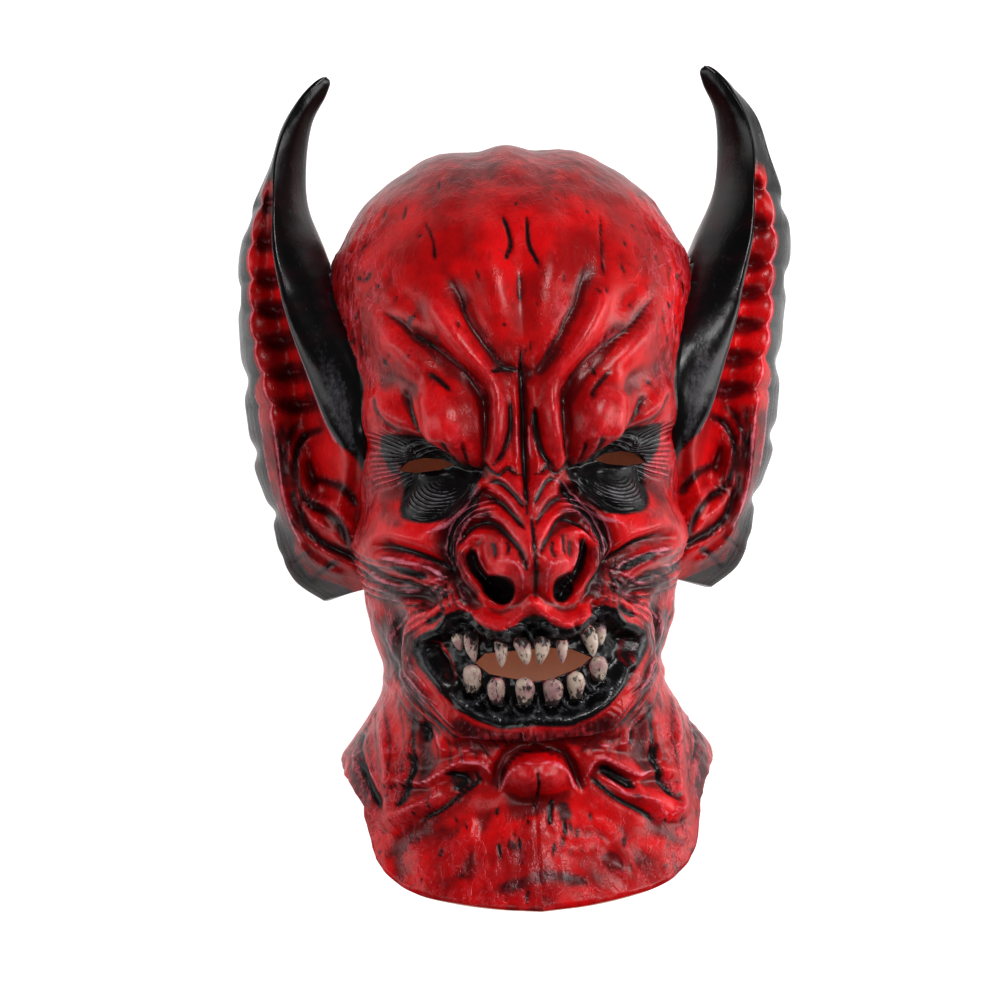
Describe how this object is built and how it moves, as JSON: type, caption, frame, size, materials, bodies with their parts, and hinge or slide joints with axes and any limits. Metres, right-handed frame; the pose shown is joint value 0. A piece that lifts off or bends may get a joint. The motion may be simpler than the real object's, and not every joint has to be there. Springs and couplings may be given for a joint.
{
  "type": "demon mask",
  "caption": "Full-head latex demon mask, hollow and open at the neck, with large bat ears, slit eyes, a folded flat nose and a toothed open mouth.",
  "frame": {"origin": "centre of the bounding box in X and Y, on the surface the mask lies on", "axes": "+Z out of the face, +Y up the face towards the crown and the ear tips, +X to the viewer's right; the mask lies on its back"},
  "size_m": [0.3038, 0.4448, 0.2475],
  "materials": {
    "latex": "satin"
  },
  "bodies": {
    "root": {"demon_mask": "latex"}
  },
  "joints": []
}
